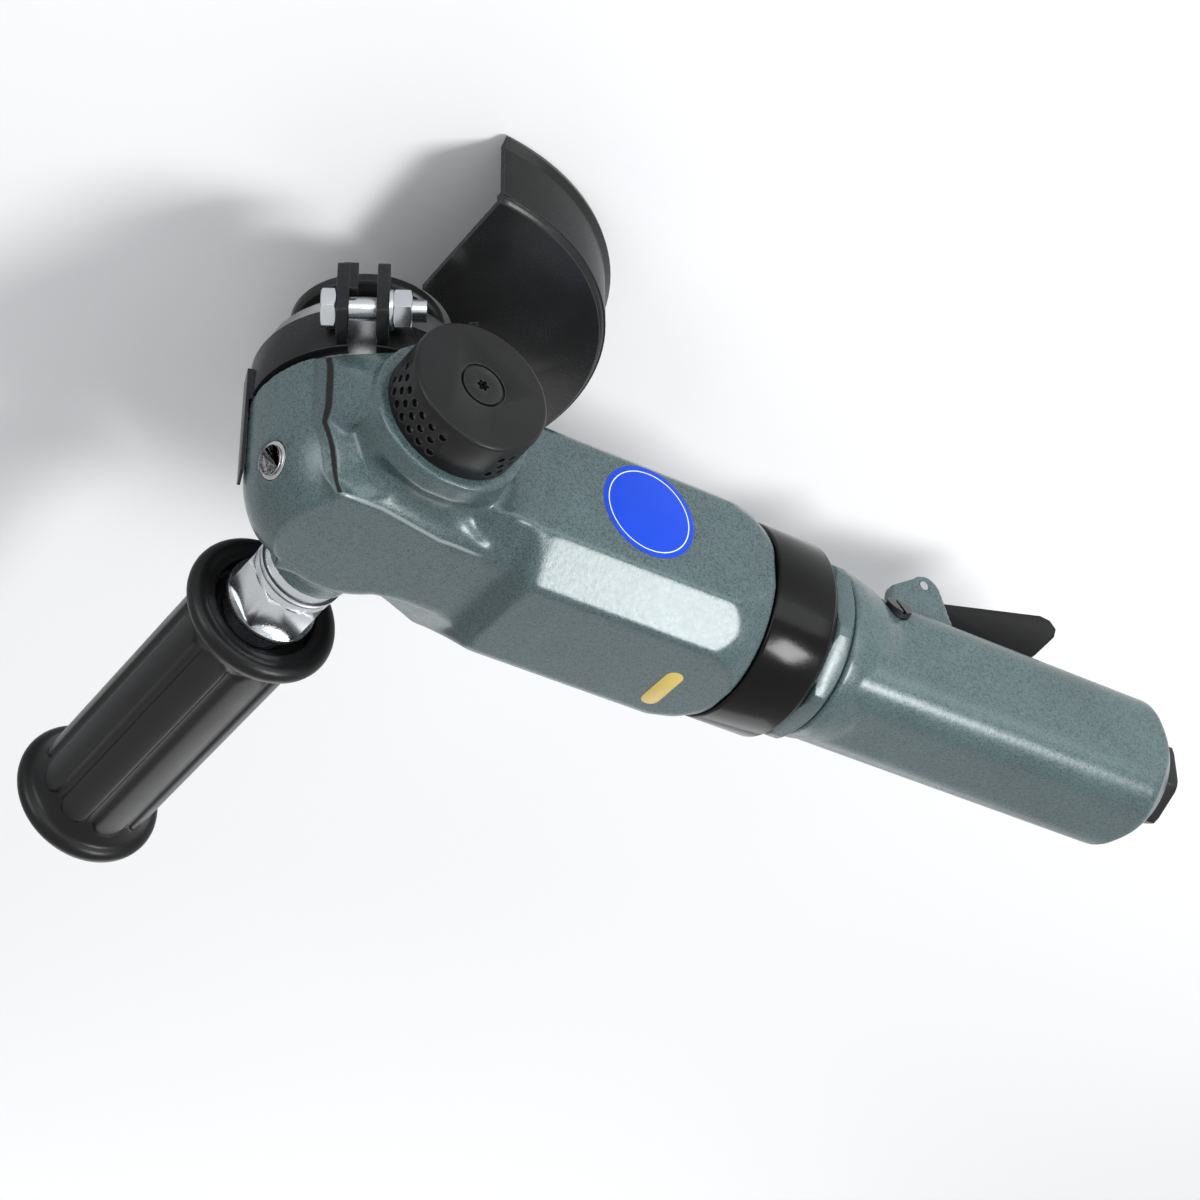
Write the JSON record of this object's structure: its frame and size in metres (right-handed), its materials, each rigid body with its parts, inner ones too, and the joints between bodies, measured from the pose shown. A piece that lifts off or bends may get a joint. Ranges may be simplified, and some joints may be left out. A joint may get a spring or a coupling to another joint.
{
  "type": "air angle grinder",
  "caption": "Compressed-air angle grinder: bevel gear head with swivelling wheel guard, vane motor, lever throttle handle, side handle and exhaust silencer.",
  "frame": {"origin": "on the spindle axis, in the plane of the flange's wheel seat", "axes": "+X along the motor from the spindle to the air inlet, +Y towards the silencer, +Z along the spindle away from the wheel"},
  "size_m": [0.3086, 0.2405, 0.1047],
  "materials": {
    "painted_casting": "hammered blue-grey enamel on cast aluminium",
    "painted_ring": "smooth blue-grey enamel",
    "painted_handle": "hammered blue-grey enamel on cast aluminium",
    "zinc_plate": "bright zinc plate",
    "zinc_stud": "turned and zinc plated",
    "bare_metal": "turned, bare",
    "socket_screws": "black oxide",
    "seal_rubber": "moulded nitrile",
    "spindle_steel": "ground",
    "bearing_steel": "ground rings with shields",
    "gear_steel": "case hardened",
    "spring_steel": "spring steel",
    "flange_steel": "turned, black oxide",
    "guard_black": "satin black coat on pressed steel",
    "cap_black": "satin black coat",
    "felt": "pressed felt",
    "screw_black": "black oxide",
    "rotor_steel": "ground",
    "vane_resin": "phenolic laminate",
    "liner_iron": "honed",
    "plate_iron": "ground",
    "spacer_steel": "turned",
    "collar_black": "satin black coat on steel",
    "core_steel": "tube",
    "grip_rubber": "moulded, firm",
    "lever_black": "satin black coat on pressed steel",
    "pin_steel": "ground",
    "stem_steel": "ground",
    "valve_brass": "turned",
    "bush_black": "black oxide",
    "screen_steel": "drilled sheet"
  },
  "bodies": {
    "tool": {"body_casting": "painted_casting", "front_insert": "zinc_plate", "neck_collar": "bare_metal", "neck_screws": "socket_screws", "neck_seal": "seal_rubber", "lower_spindle_bearing": "bearing_steel", "upper_spindle_bearing": "bearing_steel", "silencer_cap": "cap_black", "silencer_felt": "felt", "silencer_screw": "screw_black", "cylinder_liner": "liner_iron", "front_end_plate": "plate_iron", "rear_end_plate": "plate_iron", "front_rotor_bearing": "bearing_steel", "rear_rotor_bearing": "bearing_steel", "motor_spacer": "spacer_steel", "motor_seal": "seal_rubber", "coupling_collar": "collar_black", "lock_ring": "painted_ring", "rear_handle": "painted_handle", "side_handle_bolt": "zinc_stud", "handle_core": "core_steel", "handle_grip": "grip_rubber", "lever_pin": "pin_steel", "valve_bush": "valve_brass", "valve_spring": "spring_steel", "inlet_bush": "bush_black", "inlet_screen": "screen_steel"},
    "spindle_group": {"spindle": "spindle_steel", "bevel_gear": "gear_steel", "gear_circlip": "spring_steel", "wheel_flange": "flange_steel"},
    "guard_group": {"guard": "guard_black", "clamp_bolt": "zinc_plate", "clamp_nut": "zinc_plate"},
    "rotor_group": {"rotor": "rotor_steel", "rotor_vanes": "vane_resin", "pinion": "gear_steel"},
    "lever": {"throttle_lever": "lever_black"},
    "valve": {"valve_stem": "stem_steel"},
    "regulator": {"regulator_screw": "screw_black"}
  },
  "joints": [
    {"name": "rotor_spin", "type": "hinge", "parent": "tool", "child": "rotor_group", "pos_m": [0.06, 0, 0.056], "axis": [1, 0, 0], "continuous": true},
    {"name": "spindle_spin", "type": "hinge", "parent": "tool", "child": "spindle_group", "pos_m": [0, 0, 0.025], "axis": [0, 0, 1], "continuous": true},
    {"name": "guard_swivel", "type": "hinge", "parent": "tool", "child": "guard_group", "pos_m": [0, 0, 0.028], "axis": [0, 0, 1], "range_deg": [-60, 30]},
    {"name": "lever_press", "type": "hinge", "parent": "tool", "child": "lever", "pos_m": [0.1834, 0, 0.0258], "axis": [0, -1, 0], "range_deg": [0, 12], "stiffness_Nm_per_rad": 0.6, "springref_deg": -17.19},
    {"name": "valve_lift", "type": "slide", "parent": "tool", "child": "valve", "axis": [0, 0, 1], "range_m": [0, 0.0052], "deforming": ["valve_spring"]},
    {"name": "regulator_turn", "type": "hinge", "parent": "tool", "child": "regulator", "pos_m": [0.1665, 0, 0.056], "axis": [0, 0.8746, -0.4848], "range_deg": [-135, 135]}
  ],
  "couplings": [
    {"joint": "spindle_spin", "follows": "rotor_spin", "ratio": 0.57895},
    {"joint": "valve_lift", "follows": "lever_press", "m_per_rad": 0.02401}
  ]
}
